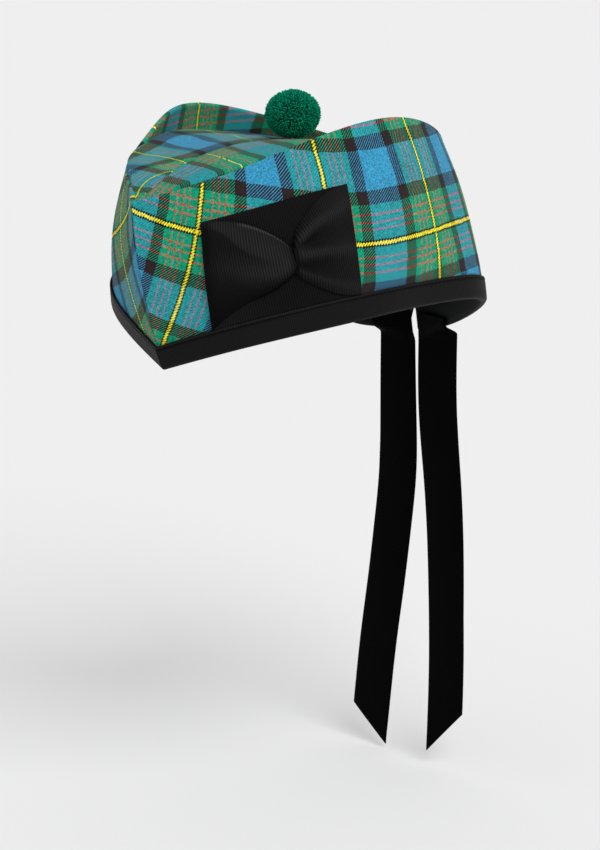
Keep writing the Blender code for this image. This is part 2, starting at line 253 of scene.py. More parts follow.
def new_look(name, roughness, sheen, specular):
    """A material with its plain numbers on the shader's own sockets."""
    look = bpy.data.materials.new(name)
    look.use_nodes = True
    shader = look.node_tree.nodes["Principled BSDF"]
    shader.inputs["Roughness"].default_value = roughness
    shader.inputs["Sheen Weight"].default_value = sheen
    shader.inputs["Sheen Roughness"].default_value = 0.5
    shader.inputs["Specular IOR Level"].default_value = specular
    return look, look.node_tree, shader


def yarn(tree, place, jog, fine_line):
    """Colour and strength of the yarn at a place in the sett, which runs up and then back down its table.

    Near the yellow line the place is moved by jog, so that its two edges are stepped as in a twill.
    """
    far = calc(tree, "PINGPONG", place, 0.5)
    near = calc(tree, "MAXIMUM", calc(tree, "MULTIPLY_ADD", far, -12.0, 1.2), 0.0)
    place = calc(tree, "ADD", place, calc(tree, "MULTIPLY", jog, near))
    ramp = tree.nodes.new("ShaderNodeValToRGB")
    ramp.color_ramp.interpolation = "CONSTANT"
    stops = ramp.color_ramp.elements
    stops.remove(stops[1])
    for number, (position, colour, strength) in enumerate(sett_rows):
        position = position * fine_line if number < 3 else position
        stop = stops[0] if number == 0 else stops.new(position)
        stop.position = position
        stop.color = (*colour, strength)
    tree.links.new(calc(tree, "MULTIPLY", calc(tree, "PINGPONG", place, 0.5), 2.0), ramp.inputs["Fac"])
    return ramp.outputs["Color"], ramp.outputs["Alpha"]


def tartan(name, fine_line=1.0):
    """Twill of two sets of yarn: the warp is on top in the part of each diagonal step that its strength wins.

    A fine_line under 1 narrows the yellow line and its black edges.
    """
    look, tree, shader = new_look(name, 0.9, 0.06, 0.15)
    place = add(tree, "UVMap", uv_map="thread")
    wander = add(tree, "TexNoise", place, None, 9.0, 2.0, 0.5)
    split = tree.nodes.new("ShaderNodeSeparateXYZ")
    tree.links.new(place, split.inputs[0])
    drift = calc(tree, "MULTIPLY", calc(tree, "SUBTRACT", wander, 0.5), 0.02)
    across = calc(tree, "ADD", split.outputs[0], drift)
    up = calc(tree, "ADD", split.outputs[1], drift)
    phase = calc(tree, "MULTIPLY", across, twill_across)
    phase = calc(tree, "SUBTRACT", phase, calc(tree, "MULTIPLY", up, twill_up))
    step = calc(tree, "MULTIPLY", calc(tree, "PINGPONG", phase, 0.5), 2.0)
    jog = calc(tree, "MULTIPLY", calc(tree, "SUBTRACT", calc(tree, "FRACT", phase), 0.5), 0.011)
    warp, warp_strength = yarn(tree, across, jog, fine_line)
    weft, weft_strength = yarn(tree, up, jog, fine_line)
    share = calc(tree, "ADD", calc(tree, "SUBTRACT", warp_strength, weft_strength), 0.5)
    over = calc(tree, "MULTIPLY_ADD", calc(tree, "SUBTRACT", share, step), 4.0, 0.5)
    over = calc(tree, "MINIMUM", calc(tree, "MAXIMUM", over, 0.0), 1.0)
    cloth = mixed(tree, over, weft, warp)
    where = add(tree, "TexCoord", out=3)
    fibre = add(tree, "TexNoise", where, None, 1100.0, 2.0, 0.8)
    cloud = add(tree, "TexNoise", where, None, 75.0, 2.0, 0.5)
    between = calc(tree, "ABSOLUTE", calc(tree, "SUBTRACT", share, step))
    between = calc(tree, "MINIMUM", calc(tree, "MULTIPLY", between, 5.0), 1.0)
    tone = calc(tree, "MULTIPLY_ADD", fibre, 2.4, -0.27)
    tone = calc(tree, "ADD", tone, calc(tree, "MULTIPLY_ADD", cloud, 0.3, -0.15))
    # Painted shade: the colour is darker along the twill's lines, where warp and weft change places.
    painted_hollow_shade = calc(tree, "MULTIPLY_ADD", between, 0.4, 0.76)
    tone = calc(tree, "MULTIPLY", calc(tree, "MAXIMUM", tone, 0.3), painted_hollow_shade)
    grey = tree.nodes.new("ShaderNodeCombineColor")
    for socket in grey.inputs:
        tree.links.new(tone, socket)
    cloth = mixed(tree, 1.0, cloth, grey.outputs[0], "MULTIPLY")
    tree.links.new(cloth, shader.inputs["Base Color"])
    relief = calc(tree, "ADD", between, calc(tree, "MULTIPLY", fibre, 0.8))
    bump = tree.nodes.new("ShaderNodeBump")
    bump.inputs["Strength"].default_value = 0.5
    bump.inputs["Distance"].default_value = 0.0003
    tree.links.new(relief, bump.inputs["Height"])
    tree.links.new(bump.outputs["Normal"], shader.inputs["Normal"])
    return look


# The right side's rim stands a little off the left's: run, then how far in and how far up
right_rim_rows = ((0.0, 0.0, 0.0), (0.1, 0.0004, 0.0), (0.2, 0.0018, -0.0012), (0.28, 0.0012, 0.0004),
                  (0.35, 0.0, 0.0026), (0.43, -0.0004, 0.0032), (0.5, 0.0, 0.0022), (0.6, 0.0, 0.0014),
                  (0.8, 0.0, 0.001), (1.0, 0.0, 0.0))


def right_dip(run):
    """How far the right side's foot hangs lower near the back: 4.5 mm times a bell over the run."""
    return 0.0045 * np.exp(-((run - 0.87) / 0.07) ** 2)


def side_panel(side, look):
    """Closed loop of cloth: up the outer face, round the rim in a half circle, down inside to the hem.

    Low waves run over it, and a bell-shaped ridge of seam_ridge stands along the back seam.
    """
    share = np.linspace(0.0, 1.0, 361)[:, None]
    hem = 0.0023 / wall_rise
    top = 1 - 0.0006 / wall_rise
    turn = np.linspace(0.0, math.pi, 13)[1:-1]
    rise = np.linspace(hem, top, 90)
    swell = 0.0003 * np.clip((rise - 0.93) / 0.07, 0.0, 1.0) ** 2
    fold = wall_cloth / 2 + swell[-1]
    level = np.concatenate([rise, top + fold / wall_rise * np.sin(turn), rise[::-1], rise[:1]])
    inset = np.concatenate([-swell, wall_cloth / 2 - fold * np.cos(turn), wall_cloth + swell[::-1], [0.0]])
    run = between_seams(share, level[None, :], inset[None, :], side)
    off_ends = np.sin(math.pi * np.clip(level, 0, 1))
    ripple = 0.0005 * np.sin(9 * run + 5 * level) * off_ends ** 2
    seam = seam_ridge * np.exp(-((1 - run) * band_run / 0.0055) ** 2) * np.clip(off_ends * 3, 0, 1)
    ripple = ripple - seam
    points = wall(run, level[None, :], inset[None, :] + ripple, side)
    if side < 0:
        eased = spline(right_rim_rows, run) * np.clip(level, 0.0, 1.1)[None, :, None] ** 4
        points[..., 0] += eased[..., 0]
        points[..., 2] += eased[..., 1] - right_dip(run) * (1 - np.clip(level, 0.0, 1.0)) ** 2
    marks = sett_place(run, np.broadcast_to(level, run.shape), side)
    if side < 0:
        points, marks = points[::-1], marks[::-1]
    return surface(f"side_panel_{'left' if side > 0 else 'right'}_cloth", points, marks, look, around=True)


tartan_cloth = tartan("tartan_worsted")
side_cloths = {}
for side, label in ((1, "left"), (-1, "right")):
    side_cloths[label] = side_panel(side, tartan_cloth)
    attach(side_cloths[label], "root")
    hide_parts(f"side_panel_{label}")

# Crown: two leaf-shaped halves of the same wool, let in a little below the rim and seamed to the side
# panels. They meet in the crease that runs from front to back, where the cap folds flat.

crown_cloth, crease_depth = 0.0015, 0.002
crown_rows = ((-0.52, 0.65), (-0.44, 0.757), (-0.306, 0.864), (-0.18, 0.906), (-0.02, 0.913), (0.06, 0.902),
              (0.15, 0.882), (0.3, 0.824), (0.4, 0.77), (0.52, 0.69))

# The sett on the crown, in centimetres. Far half: y, then x of its dark band and one sett's width. Both
# halves: y at the crease, then the sett count there; the stripes cross the crease at a slant.
crown_dark_rows = ((-11.0, -1.9, 5.5), (-8.7, -1.75, 5.5), (-8.2, -1.19, 6.5), (-7.65, -0.75, 7.5),
                   (-7.0, -0.37, 8.5), (-6.1, -0.2, 9.5), (-3.7, -0.2, 12.0), (0.0, -0.2, 10.0),
                   (8.0, -0.2, 6.5))
crown_far_rows = ((-11.0, -0.95), (-7.8, 0.0), (-6.62, 0.31), (-4.75, 0.69), (-3.2, 1.0), (0.0, 1.6),
                  (4.0, 2.25), (9.0, 3.05))
# Near half: x, and the sett count there, from the crease outwards
crown_near_across = ((0.0, 0.6, 1.1, 1.6, 2.4, 6.0), (0.27, 0.2, 0.145, 0.097, 0.062, 0.045))
crown_near_rows = ((-11.0, -1.05), (-9.3, -0.69), (-7.7, -0.31), (-6.58, 0.0), (-5.25, 0.31), (-2.5, 0.69),
                   (0.0, 1.0), (4.0, 1.6), (9.0, 2.4))


def crown_height(along, across):
    """Top of the crown: its lengthwise line, less a dip, full at the crease and nothing at the widest rim."""
    dip = crease_depth * (1 - np.clip(np.abs(across) / (rim_width / 2), 0.0, 1.0))
    return spline(crown_rows, (along + rim_forward) / rim_length)[..., 0] * side_height - dip


def crown_edge(run):
    """Where the wall's inner face stands at the crown's height, found by repeating level = height's share."""
    foot, top = wall_face(run, np.zeros_like(run)), wall_face(run, np.ones_like(run))
    level = np.full_like(run, 0.9)
    for _ in range(5):
        points = wall(run, level, wall_cloth - 0.0009)
        height = crown_height(points[:, 1], points[:, 0])
        level = (height - foot[:, 2]) / (top[:, 2] - foot[:, 2])
    return points


def crown_marks(x, y):
    """Sett counts on both halves, a slanted stripe being followed to the crease.

    It meets the crease at y = (y + slant·x) / (1 - fan·x), with a slant and a fan for each half.
    """
    x, y = x * 100, y * 100
    dark, pitch = np.moveaxis(spline(crown_dark_rows, y), -1, 0)
    at_crease = (y + 0.656 * x) / (1 - 0.07 * x)
    far = np.stack([0.31 + (dark - x) / pitch, spline(crown_far_rows, at_crease)[..., 0]], -1)
    across = np.interp(x, *crown_near_across) - 0.04 * np.clip((-8.4 - y) / 0.8, 0.0, 1.0)
    at_crease = (y + 0.74 * x) / (1 - 0.057 * x)
    near = np.stack([across, spline(crown_near_rows, at_crease)[..., 0]], -1)
    return far, near


def crown_half(side, look):
    """Closed loop from crease to wall on top and back below; both edges turn down in a small rounded seam."""
    run = np.linspace(0.004, 0.996, 220)
    edge = crown_edge(run)
    share = np.concatenate([np.linspace(0, 1, 46) ** 0.8, [1.0], np.linspace(1, 0, 16), [0.0]])[None, :]
    depth = np.concatenate([np.zeros(46), [crown_cloth / 2], np.full(16, crown_cloth), [0.0]])[None, :]
    across = share * np.maximum(edge[:, :1], 0.0004) - 0.00004
    along = np.broadcast_to(edge[:, 1:2], across.shape)
    height = crown_height(along, across)
    height = height - 0.0006 * np.exp(-(across / 0.0009) ** 2) - 0.0008 * np.exp(-((1 - share) / 0.03) ** 2)
    height = height + 0.0004 * np.sin(across * 160 + along * 90) * np.sin(math.pi * share) - depth
    points = np.stack([side * across, along, height], axis=-1)
    far, near = crown_marks(points[..., 0], points[..., 1])
    marks = near if side > 0 else far
    if side > 0:
        points, marks = points[::-1], marks[::-1]
    return surface(f"crown_{'left' if side > 0 else 'right'}_half", points, marks, look, around=True)


crown_tartan = tartan("tartan_crown", 0.6)
for side in (1, -1):
    half = crown_half(side, crown_tartan)
    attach(half, "root")
    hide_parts("crown")

# Binding: black ribbon folded in half over the hem of the side panels, and machine stitched through all
# layers close to its upper edge. It runs round the head and ends on both sides of the vent.

ribbon_cloth, band_face, clearance = 0.001, 0.0125, 0.0003
fold_radius = wall_cloth / 2 + clearance + ribbon_cloth / 2
stitch_line, stitch_pitch, stitch_depth = 0.0017, 0.0027, 0.00035


def black_ribbon(name, rib_pitch, rib_height, tone, gloss, with_painted_light=False):
    """Black grosgrain: ribs across the ribbon, u and v of its UV map being metres along and across it.

    Where asked for, painted light on its ridges and painted shade in its hollows multiply its colour, as its
    points' fold value says.
    """
    look, tree, shader = new_look(name, 0.62, 0.0, gloss)
    place = add(tree, "UVMap", uv_map="thread")
    split = tree.nodes.new("ShaderNodeSeparateXYZ")
    tree.links.new(place, split.inputs[0])
    rib = calc(tree, "PINGPONG", calc(tree, "MULTIPLY", split.outputs[0], 1 / rib_pitch), 0.5)
    rib = calc(tree, "MULTIPLY", rib, 2.0)
    thread = calc(tree, "PINGPONG", calc(tree, "MULTIPLY", split.outputs[1], 1 / 0.0006), 0.5)
    scaled = add(tree, "VectorMath", place, (900.0, 900.0, 0.0), operation="MULTIPLY")
    fibre = add(tree, "TexNoise", scaled, None, 1.0, 3.0, 0.6)
    broad = add(tree, "TexNoise", scaled, None, 0.03, 2.0, 0.5)
    # Painted light and shade: the ribs are lighter and the spaces between them darker, with random tone from
    # two noises on top.
    shade = calc(tree, "ADD", calc(tree, "MULTIPLY", rib, 1.6), calc(tree, "ADD", fibre, broad))
    shade = calc(tree, "MULTIPLY_ADD", shade, 0.5, -0.3)
    painted_hollow_shade = (tone * 0.3, tone * 0.3, tone * 0.31, 1.0)
    painted_ridge_light = (tone * 1.7, tone * 1.7, tone * 1.75, 1.0)
    colour = mixed(tree, shade, painted_hollow_shade, painted_ridge_light)
    if with_painted_light:
        # The points' fold value carries painted light and shade, and it multiplies the colour.
        fold = add(tree, "Attribute", attribute_name="fold", out=2)
        grey = tree.nodes.new("ShaderNodeCombineColor")
        for socket in grey.inputs:
            tree.links.new(fold, socket)
        colour = mixed(tree, 1.0, colour, grey.outputs[0], "MULTIPLY")
    tree.links.new(colour, shader.inputs["Base Color"])
    rough = calc(tree, "MULTIPLY_ADD", fibre, 0.2, 0.42)
    tree.links.new(rough, shader.inputs["Roughness"])
    relief = calc(tree, "ADD", rib, calc(tree, "MULTIPLY", calc(tree, "ADD", thread, fibre), 0.4))
    bump = tree.nodes.new("ShaderNodeBump")
    bump.inputs["Strength"].default_value = 0.8
    bump.inputs["Distance"].default_value = rib_height
    tree.links.new(relief, bump.inputs["Height"])
    tree.links.new(bump.outputs["Normal"], shader.inputs["Normal"])
    return look


# Per-point factor on a ribbon's colour: painted light and shade.
def set_painted_light(made, values):
    attribute = made.data.attributes.new("fold", "FLOAT", "POINT")
    attribute.data.foreach_set("value", values.astype(np.float32).ravel())


def binding_profile():
    """Closed outline of the folded ribbon as (inset, height) pairs, 1 mm thick, with its edges rounded."""
    low, half = fold_radius + ribbon_cloth / 2, ribbon_cloth / 2
    middle = wall_cloth / 2
    top = band_face - half
    tip = np.linspace(0.0, math.pi, 7)
    turn = np.linspace(0.0, math.pi, 13)
    groove = band_face - stitch_line + np.linspace(-0.0009, 0.0009, 13)
    outer = np.concatenate([np.linspace(low, groove[0] - 0.0002, 12), groove, [top]])
    plain = np.linspace(top, low, 6)
    parts = [
        (np.full(len(outer), middle - fold_radius - half), outer),
        (middle - fold_radius - half * np.cos(tip[1:]), top + half * np.sin(tip[1:])),
        (np.full(5, middle - fold_radius + half), plain[1:]),
        (middle - (fold_radius - half) * np.cos(turn[1:]), low - (fold_radius - half) * np.sin(turn[1:])),
        (np.full(5, middle + fold_radius - half), plain[::-1][1:]),
        (middle + fold_radius - half * np.cos(tip[1:]), top + half * np.sin(tip[1:])),
        (np.full(5, middle + fold_radius + half), plain[1:]),
        (middle + (fold_radius + half) * np.cos(turn[1:]), low - (fold_radius + half) * np.sin(turn[1:])),
    ]
    return np.concatenate([part[0] for part in parts]), np.concatenate([part[1] for part in parts])


def binding(side, look):
    """The outline carried along the band, with a bell-shaped groove at the stitch line and stitches in it.

    The groove has painted shade, and the edge above it a painted highlight, as the points' fold value says.
    """
    inset, height = binding_profile()
    share = np.linspace(0.0, 1.0, 760)[:, None]
    run = between_seams(share, height[None, :] / wall_rise, inset[None, :], side)
    metres = run * band_run
    outer = (inset < -0.0012)[None, :]
    from_line = height[None, :] - (band_face - stitch_line)
    groove = np.exp(-(from_line / 0.00038) ** 2)
    stitch = np.clip(1.6 * np.sin(2 * math.pi * metres / stitch_pitch) + 0.6, 0.0, 1.0)
    stitch = stitch * np.exp(-(from_line / 0.00022) ** 2)
    sunk = outer * (stitch_depth * groove - 0.9 * stitch_depth * stitch)
    points = wall(run, height[None, :] / wall_length(run), inset[None, :] + sunk, side)
    if side < 0:
        points[..., 2] -= right_dip(run) * (1 - height[None, :] / wall_length(run)) ** 2
    girth = np.concatenate([[0.0], np.cumsum(np.hypot(np.diff(inset), np.diff(height)))])
    marks = np.stack(np.broadcast_arrays(metres, girth[None, :]), axis=-1)
    if side < 0:
        points, marks = points[::-1], marks[::-1]
    made = surface(f"binding_{'left' if side > 0 else 'right'}_ribbon", points, marks, look, around=True)
    # Painted light and shade: lighter on the outer face above the stitch line, much darker along the stitch
    # groove.
    edge = np.clip((height[None, :] - band_face + stitch_line) / 0.0006, 0.0, 1.0)
    painted_shine_and_groove_shade = 1.0 + 0.5 * edge * outer - 0.95 * outer * np.exp(-(from_line / 0.0006) ** 2)
    set_painted_light(made, (painted_shine_and_groove_shade * np.ones_like(run))[:, :-1])
    return made


band_ribbon = black_ribbon("band_ribbon", 0.0009, 0.0001, 0.005, 0.065, with_painted_light=True)
bindings = {}
for side, label in ((1, "left"), (-1, "right")):
    bindings[label] = binding(side, band_ribbon)
    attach(bindings[label], "root")
    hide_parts(f"binding_{label}")

# Bow backing: a flat square of wide black ribbon, sewn to the left side just above the binding.

bow_corners = {"front_top": (0.12, 0.745), "back_top": (0.375, 0.68), "front_foot": (0.105, 0.0),
               "back_foot": (0.35, 0.0)}


def bow_place(out, up):
    """Run and level between the four corners, linear in out (front -1, back 1) and up (foot -1, top 1)."""
    out, up = (out + 1) / 2, (up + 1) / 2
    corners = {name: np.array(value) for name, value in bow_corners.items()}
    front = corners["front_foot"] * (1 - up)[..., None] + corners["front_top"] * up[..., None]
    back = corners["back_foot"] * (1 - up)[..., None] + corners["back_top"] * up[..., None]
    place = front * (1 - out)[..., None] + back * out[..., None]
    foot = band_face / wall_length(place[..., 0])
    return place[..., 0], foot + (1 - foot) * place[..., 1]


def thickened(made, thickness, offset):
    modifier = made.modifiers.new("cloth", "SOLIDIFY")
    modifier.thickness = thickness
    modifier.offset = offset
    modifier.use_even_offset = True


wide_ribbon = black_ribbon("wide_ribbon", 0.00115, 0.00025, 0.011, 0.035, with_painted_light=True)
out, up = np.meshgrid(np.linspace(-1, 1, 60), np.linspace(-1, 1, 50), indexing="ij")
run, level = bow_place(out, up)
sag = 0.0003 * np.sin(7 * out + 2 * up) * (1 - out ** 2) * (1 - up ** 2)
backing = surface("bow_backing_ribbon", wall(run, level, -clearance - np.maximum(sag, 0.0)),
                  np.stack([run * band_run, level * wall_rise], axis=-1), wide_ribbon)
# Painted shade: the backing is darkened under the bow, most in the middle and less towards its front and back
# edges.
set_painted_light(backing, 0.35 + 0.25 * np.abs(out - 0.17) ** 2)
thickened(backing, ribbon_cloth * 0.9, 1.0)
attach(backing, "root")
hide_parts("bow_backing")

# Bow: wide black ribbon looped to both sides and pinched in the middle by a few hidden stitches, so that
# folds spread from the pinch. Its flat ends are sewn down with the backing's front and back edges.

bow_thickness, bow_puff, pinch_out = 0.0012, 0.0065, 0.135
# From the pinch outwards: share of the wing, the places of its top edge, its foot and its crest, and its puff
front_wing_rows = ((0.0, 0.02, -0.3, -0.14, 0.35), (0.07, 0.17, -0.37, -0.14, 0.75),
                   (0.19, 0.38, -0.48, -0.08, 1.0), (0.36, 0.6, -0.57, 0.1, 1.0),
                   (0.53, 0.77, -0.62, 0.32, 0.85), (0.75, 0.9, -0.75, 0.7, 0.5), (1.0, 1.0, -1.0, 0.9, 0.06))
back_wing_rows = ((0.0, 0.08, -0.32, 0.16, 0.35), (0.05, 0.3, -0.4, 0.22, 0.8), (0.13, 0.47, -0.5, 0.28, 1.0),
                  (0.27, 0.64, -0.64, 0.38, 0.95), (0.47, 0.82, -0.81, 0.47, 0.75),
                  (0.7, 0.94, -0.94, 0.55, 0.4), (1.0, 1.0, -1.0, 0.7, 0.06))


def ridge(across, middle, width):
    return np.exp(-((across - middle) / width) ** 2)


def bow_surface(out, up):
    """Place, lift and painted light and shade of the bow, whose cross-section goes with up from its foot -1
    to its top edge 1.

    The front wing is one round fold: a parabola from its crest to its top, a fourth power down to its foot.
    The back wing is a sum of bell-shaped folds that start at the pinch.
    """
    front = out < pinch_out
    far = np.where(front, (pinch_out - out) / (pinch_out + 1), (out - pinch_out) / (1 - pinch_out))
    rows = np.where(front[..., None], spline(front_wing_rows, far), spline(back_wing_rows, far))
    top, foot, crest, puff = np.moveaxis(rows, -1, 0)
    upright = np.clip(foot + (up + 1) / 2 * (top - foot), -1.0, 1.0)
    above = np.clip((upright - crest) / (top - crest), 0.0, 1.0)
    below = np.clip((crest - upright) / (crest - foot), 0.0, 1.0)
    round_fold = 1 - 0.8 * above ** 1.8 - 0.25 * below - 0.75 * below ** 4
    middle_fold = -0.04 - 0.12 * far
    low_fold = (-0.27 - 0.5 * far + foot) / 2
    folds = (0.9 * ridge(upright, crest, 0.15) + 0.85 * ridge(upright, middle_fold, 0.13)
             + 0.5 * ridge(upright, low_fold, 0.1) + 0.35 * far * ridge(upright, crest + 0.3, 0.2))
    lift = np.where(front, round_fold, folds * (1 - up ** 8)) * bow_puff * puff
    lift = np.clip(lift * np.clip((1 - far) / 0.1, 0.0, 1.0), 0.0, bow_puff)
    turned = foot + 0.55 * (crest - foot)
    # Painted light and shade: on the front wing a lit strip above its crest, a highlight along its top edge,
    # a lighter band where the ribs show and shade towards its foot and its end; on the back wing lighter fold
    # ridges; all darker at the pinch.
    painted_lit_strip = np.clip((upright - crest + 0.03) / 0.06, 0.0, 1.0)
    painted_edge_highlight = ridge(up, 0.95, 0.035) * np.clip((0.62 - far) / 0.1, 0.0, 1.0)
    painted_rib_light = 0.45 + 0.6 * ridge(upright, turned + 0.05, 0.22) * np.clip(1.2 - far, 0.0, 1.0)
    shaded = painted_rib_light * np.clip(0.2 + (upright - foot) / (turned - foot) * 0.8, 0.2, 1.0)
    front_painted_light = shaded * (1 - painted_lit_strip) + 0.95 * painted_lit_strip + 1.8 * painted_edge_highlight
    front_painted_light = front_painted_light * np.clip((1.12 - far) / 0.3, 0.35, 1.0)
    back_painted_light = 0.3 + 0.85 * np.clip(folds, 0.0, 1.0) * (1 - 0.5 * far) + 0.25 * far
    painted_light = np.where(front, front_painted_light, back_painted_light) * np.clip(0.3 + far / 0.12, 0.0, 1.0)
    return upright, lift, painted_light


out, up = np.meshgrid(np.linspace(-1, 1, 160), np.linspace(-1, 1, 81), indexing="ij")
upright, lift, painted_light = bow_surface(out, up)
run, level = bow_place(out, upright)
bow_piece = surface("bow_ribbon", wall(run, level, -(2 * clearance + ribbon_cloth + lift)),
                    np.stack([run * band_run, up * 0.03], axis=-1), wide_ribbon)
set_painted_light(bow_piece, painted_light)
thickened(bow_piece, bow_thickness * 0.7, 1.0)
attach(bow_piece, "root")
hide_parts("bow")

# Toorie: a ball of green wool, its cut yarn ends standing close together all round a tied core, and sewn
# to the crown on the crease.

toorie_diameter, toorie_height, toorie_behind_tip, yarn_ends = 0.0275, 0.024, 0.1106, 2600
yarn_radius, yarn_length, yarn_cover = 0.00036, 0.0036, 0.0019
squash = np.array([1.0, 1.0, toorie_height / toorie_diameter])


def spiral_directions(count):
    """Directions spread evenly over a ball, each a golden-angle turn after the last."""
    index = np.arange(count)
    height = 1 - (2 * index + 1) / count
    turn = index * math.pi * (3 - math.sqrt(5))
    ring = np.sqrt(1 - height ** 2)
    return np.column_stack([ring * np.cos(turn), ring * np.sin(turn), height])


def wool_look():
    """Green wool with painted shade, darker deep between the yarn ends and lighter at their tips, and patchy
    all over.

    u of the UV map is the share of the way out to the tip, and v is each end's own chance tone.
    """
    look, tree, shader = new_look("toorie_wool", 0.95, 0.2, 0.05)
    shader.inputs["Sheen Tint"].default_value = (0.02, 0.8, 0.5, 1.0)
    place = add(tree, "UVMap", uv_map="thread")
    split = tree.nodes.new("ShaderNodeSeparateXYZ")
    tree.links.new(place, split.inputs[0])
    where = add(tree, "TexCoord", out=3)
    patch = add(tree, "TexNoise", where, None, 260.0, 3.0, 0.6)
    patch = calc(tree, "MULTIPLY_ADD", patch, 1.1, 0.25)
    # Painted shade: the colour darkens from each end's tip down to its root.
    shade = calc(tree, "MULTIPLY", calc(tree, "POWER", split.outputs[0], 2.2), patch)
    shade = calc(tree, "MULTIPLY", shade, calc(tree, "MULTIPLY_ADD", split.outputs[1], 0.5, 0.75))
    colour = mixed(tree, shade, (0.0, 0.012, 0.007, 1.0), (0.0, 0.33, 0.175, 1.0))
    tree.links.new(colour, shader.inputs["Base Color"])
    return look


def toorie_ball():
    """The ball's centre and its yarn ends: six-sided tubes, widest below the tip, each leaning a little."""
    chance = np.random.default_rng(7)
    radius = toorie_diameter / 2
    place = -rim_forward - rim_length / 2 + toorie_behind_tip
    slope = math.atan(crease_depth / (rim_width / 2))
    seat = float(crown_height(np.array(place), np.array(0.0)))
    reach = math.hypot(radius * math.sin(slope), toorie_height / 2 * math.cos(slope))
    centre = np.array([0.0, place, seat + (reach + clearance) / math.cos(slope)])
    axis = spiral_directions(yarn_ends) + chance.normal(0, 0.03, (yarn_ends, 3))
    axis /= np.linalg.norm(axis, axis=1, keepdims=True)
    lean = axis + chance.normal(0, 0.3, (yarn_ends, 3))
    lean /= np.linalg.norm(lean, axis=1, keepdims=True)
    side_way = np.cross(lean, np.roll(lean, 1, axis=1))
    side_way /= np.linalg.norm(side_way, axis=1, keepdims=True)
    other_way = np.cross(lean, side_way)
    tip = radius * (1.01 - 0.07 * chance.random(yarn_ends) ** 1.5)
    ring_height = np.array([-1.0, -0.35, -0.1, 0.0])
    ring_width = np.array([0.75, 1.0, 0.85, 0.35])
    turn = np.arange(6) * math.pi / 3
    circle = np.cos(turn)[:, None] * side_way[:, None, :] + np.sin(turn)[:, None] * other_way[:, None, :]
    outer_end = (axis * tip[:, None] * squash)[:, None, None, :]
    down_yarn = ring_height[None, :, None, None] * yarn_length * lean[:, None, None, :]
    round_yarn = circle[:, None, :, :] * ring_width[None, :, None, None] * yarn_radius
    body = outer_end + down_yarn + round_yarn
    rings = len(ring_height)
    start = np.arange(yarn_ends)[:, None, None] * rings * 6
    ring = np.arange(rings - 1)[None, :, None] * 6
    corner = np.arange(6)[None, None, :]
    after = (corner + 1) % 6
    here = start + ring
    faces = np.stack([here + corner, here + after, here + 6 + after, here + 6 + corner], -1)
    caps = start[:, 0] + (rings - 1) * 6 + np.arange(6)[None, :]
    caps = np.concatenate([caps, start[:, 0] + np.arange(6)[None, ::-1]])
    out_share = np.broadcast_to((ring_height + 1)[None, :, None], body.shape[:3])
    own = np.broadcast_to(chance.random(yarn_ends)[:, None, None], body.shape[:3])
    return centre, body.reshape(-1, 3) + centre, faces.reshape(-1, 4), caps, out_share.ravel(), own.ravel()


centre, points, sides, tips, out_share, own = toorie_ball()
core_rise, core_turn = np.meshgrid(np.linspace(-1.53, 1.53, 25), np.linspace(0, 2 * math.pi, 49),
                                   indexing="ij")
core_ring = np.cos(core_rise)
core = np.stack([np.cos(core_turn) * core_ring, np.sin(core_turn) * core_ring, np.sin(core_rise)], -1)
core = (core * squash * (toorie_diameter / 2 - yarn_cover) + centre)[::-1]
wool = wool_look()
mesh = bpy.data.meshes.new("toorie_yarn")
mesh.from_pydata(points.tolist(), [], sides.tolist() + tips.tolist())
layer = mesh.uv_layers.new(name="thread")
corner_points = np.empty(len(mesh.loops), dtype=np.int32)
mesh.loops.foreach_get("vertex_index", corner_points)
layer.data.foreach_set("uv", np.stack([out_share, own], -1)[corner_points].astype(np.float32).ravel())
mesh.shade_smooth()
mesh.materials.append(wool)
toorie = bpy.data.objects.new("toorie_yarn", mesh)
bpy.context.scene.collection.objects.link(toorie)
# The core takes the wool's dark painted-shade tone, as if deep between the yarn ends.
toorie_core = surface("toorie_core", core, np.full(core.shape[:2] + (2,), 0.3), wool, around=True)
for piece in (toorie, toorie_core):
    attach(piece, "root")
    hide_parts("toorie")

# Tails: two lengths of black ribbon, sewn inside the binding on both sides of the vent and left to hang,
# each cut off on a slant so that its inner edge is the longer.

tail_width, tail_length, tail_tuck = 0.0248, 0.231, 0.011
tail_gap, tail_shift, tail_twist, tail_setback = 0.0033, 0.0055, 0.006, 0.003
# Left and right tail: how much longer it is than tail_length and how far its cut rises, then its shift in x
tail_ends = {1: (-0.0024, 0.025), -1: (0.0026, 0.0196)}
tail_own_shift = {1: 0.0022, -1: -0.0003}
# Sway away from the middle as they fall: fall, left tail, right tail, as shares of their length
sway_rows = ((0.0, 0.0, 0.0), (0.2, 0.002, -0.004), (0.32, 0.015, -0.004), (0.46, 0.027, 0.01),
             (0.61, 0.031, 0.03), (0.75, 0.031, 0.053), (1.0, 0.026, 0.089))


